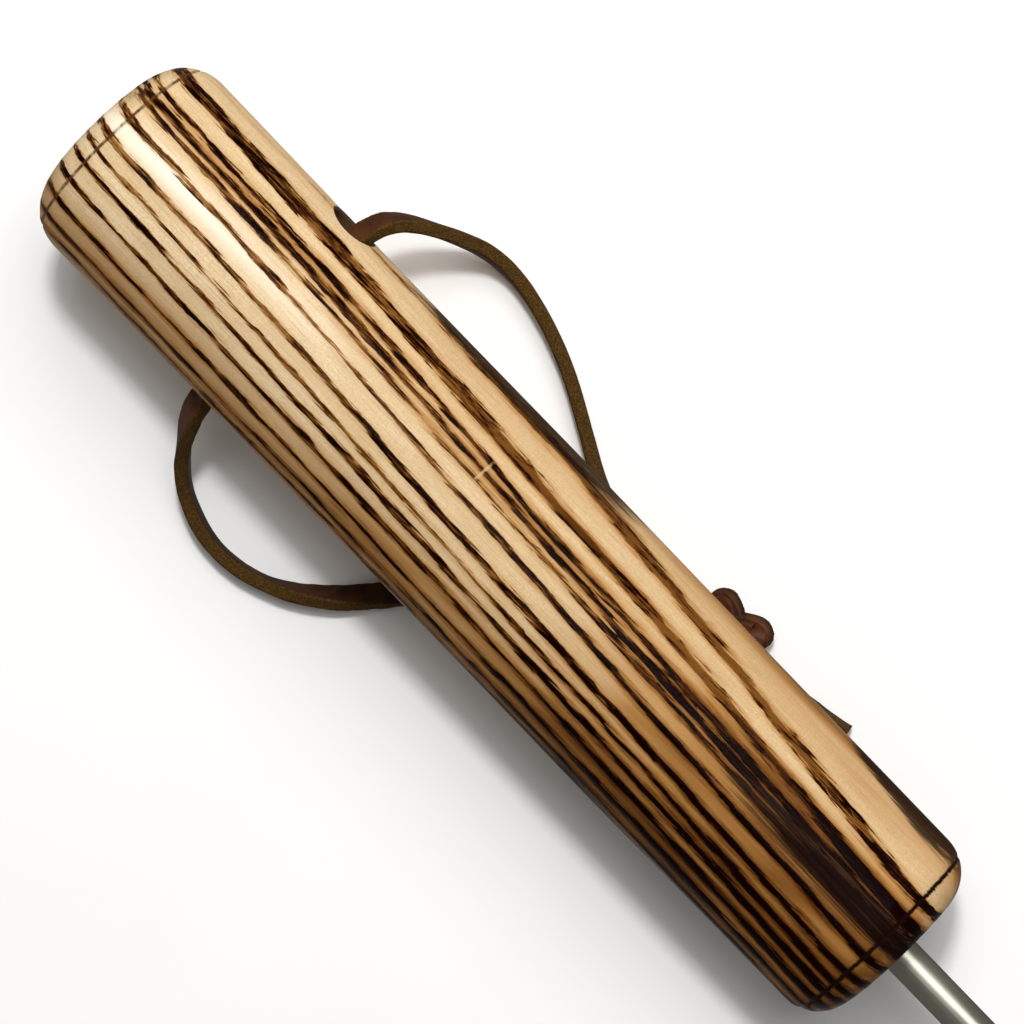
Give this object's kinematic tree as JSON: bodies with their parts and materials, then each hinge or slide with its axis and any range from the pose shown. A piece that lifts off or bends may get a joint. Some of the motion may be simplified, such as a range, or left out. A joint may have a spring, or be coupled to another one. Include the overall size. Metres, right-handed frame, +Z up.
{
  "type": "ring mandrel",
  "caption": "Straight steel mandrel rod in a round torched-pine handle, with a knotted leather lace through a cross hole, for winding jump rings and coils.",
  "frame": {"origin": "on the common axis of rod and handle, in the handle's front face, where the rod comes out", "axes": "+X along the rod towards its free tip; +Z up when the tool lies on a bench on top of its lace; +Y across the handle, along the cross hole, towards the lace's short strand"},
  "size_m": [0.348, 0.0592, 0.033],
  "materials": {
    "burnt_pine": "torched grain under satin varnish",
    "polished_steel": "drawn and polished",
    "epoxy": "cured clear amber glue",
    "lace_leather": "smooth grain face, fibrous suede face and cut edges"
  },
  "bodies": {
    "mandrel": {"handle": "burnt_pine", "mandrel_rod": "polished_steel", "epoxy_bed": "epoxy"},
    "lanyard": {"lace_short_strand": "lace_leather", "lace_long_strand": "lace_leather", "lace_knot": "lace_leather", "lace_long_tail": "lace_leather", "lace_short_tail": "lace_leather"}
  },
  "joints": [
    {"name": "lanyard_swing", "type": "hinge", "parent": "mandrel", "child": "lanyard", "pos_m": [-0.1158, 0, 0], "axis": [0, 1, 0], "range_deg": [0, 310]}
  ]
}
